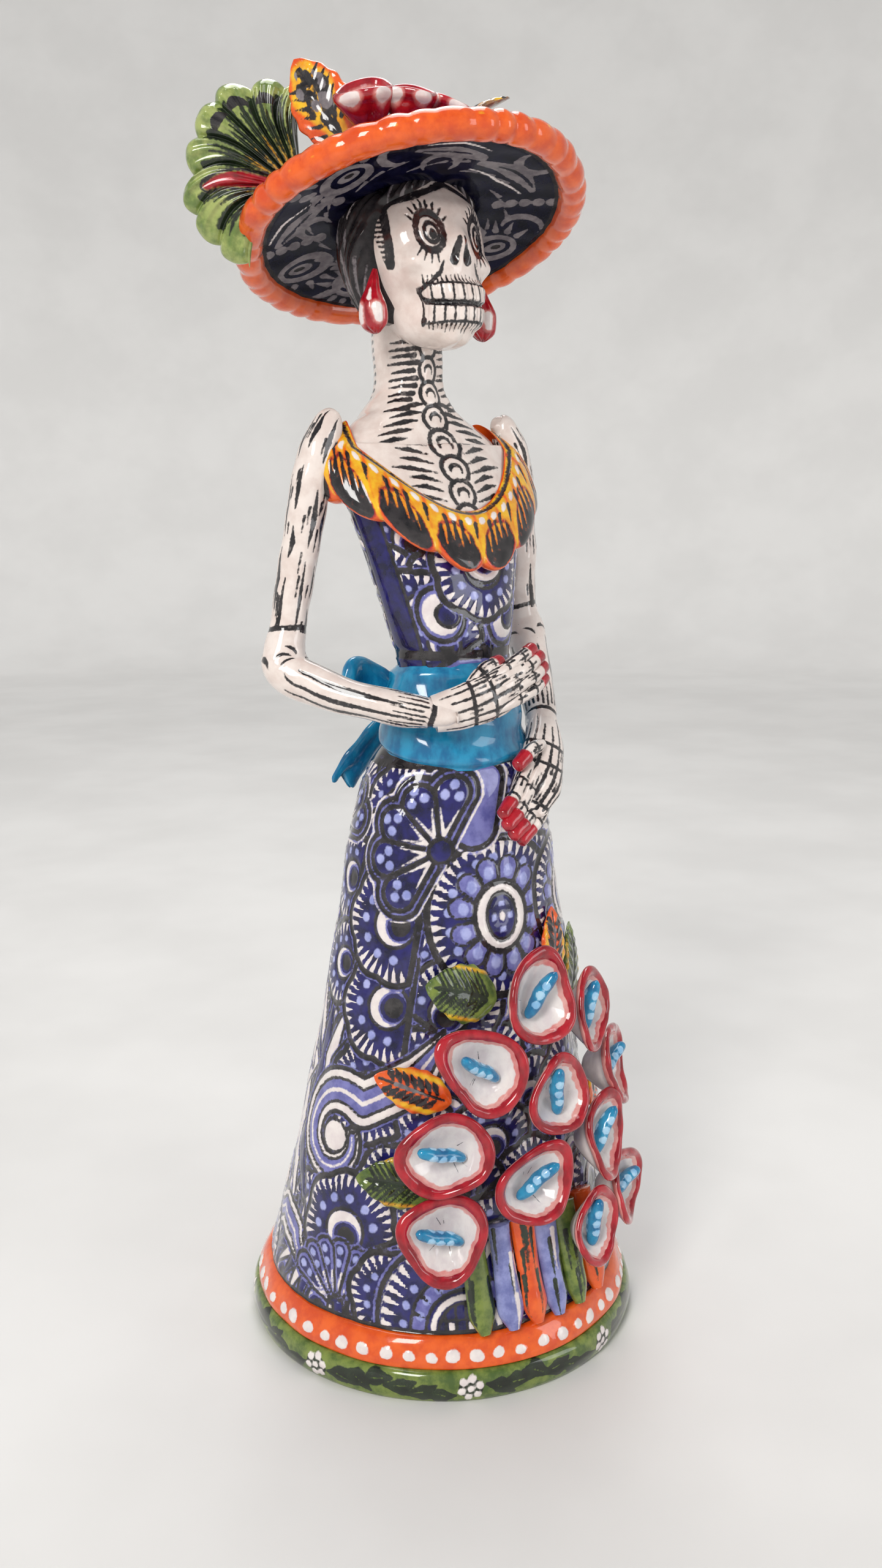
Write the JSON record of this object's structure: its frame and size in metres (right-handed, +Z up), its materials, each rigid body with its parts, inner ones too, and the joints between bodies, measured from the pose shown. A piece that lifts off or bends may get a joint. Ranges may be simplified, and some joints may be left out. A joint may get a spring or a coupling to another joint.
{
  "type": "catrina figurine",
  "caption": "Hand-painted glazed ceramic catrina with a wide flowered hat, ruffled collar, blue sash and a skirt with a calla lily bouquet.",
  "frame": {"origin": "centre of the oval foot's underside", "axes": "+Z up, the figure faces -Y, her left hand is towards +X"},
  "size_m": [0.0881, 0.089, 0.2636],
  "materials": {
    "bone": "hand-painted under a clear gloss glaze",
    "indigo": "hand-painted under a clear gloss glaze",
    "leaf_green": "hand-painted under a clear gloss glaze",
    "orange": "hand-painted under a clear gloss glaze",
    "black_yellow": "hand-painted under a clear gloss glaze",
    "red": "hand-painted under a clear gloss glaze",
    "turquoise": "hand-painted under a clear gloss glaze",
    "hair": "hand-painted under a clear gloss glaze",
    "lily": "hand-painted under a clear gloss glaze",
    "lavender": "hand-painted under a clear gloss glaze"
  },
  "bodies": {
    "root": {"base_plinth": "leaf_green", "hem_band": "orange", "skirt": "indigo", "bodice": "indigo", "neck_and_chest": "bone", "collar": "black_yellow", "skull": "bone", "hair": "hair", "earring_left": "red", "earring_right": "red", "hat_brim": "indigo", "hat_crown": "indigo", "hat_rim": "orange", "hat_plume": "leaf_green", "hat_petal": "black_yellow", "hat_leaf": "black_yellow", "right_arm": "bone", "right_hand": "bone", "left_arm": "bone", "left_hand": "bone", "sash": "turquoise", "bow_knot": "turquoise", "bow_loop_left": "turquoise", "bow_loop_right": "turquoise", "bow_tail_left": "turquoise", "bow_tail_right": "turquoise", "hat_flower_1": "red", "hat_flower_2": "red", "hat_flower_3": "red", "calla_1": "lily", "calla_2": "lily", "calla_3": "lily", "calla_4": "lily", "calla_5": "lily", "calla_6": "lily", "calla_7": "lily", "calla_8": "lily", "calla_9": "lily", "calla_10": "lily", "calla_11": "lily", "calla_spadices": "turquoise", "leaf_1": "leaf_green", "leaf_2": "black_yellow", "leaf_3": "leaf_green", "leaf_4": "black_yellow", "leaf_5": "leaf_green", "leaf_6": "black_yellow", "stem_1": "leaf_green", "stem_2": "lavender", "stem_3": "orange", "stem_4": "lavender", "stem_5": "leaf_green", "stem_6": "orange"}
  },
  "joints": []
}
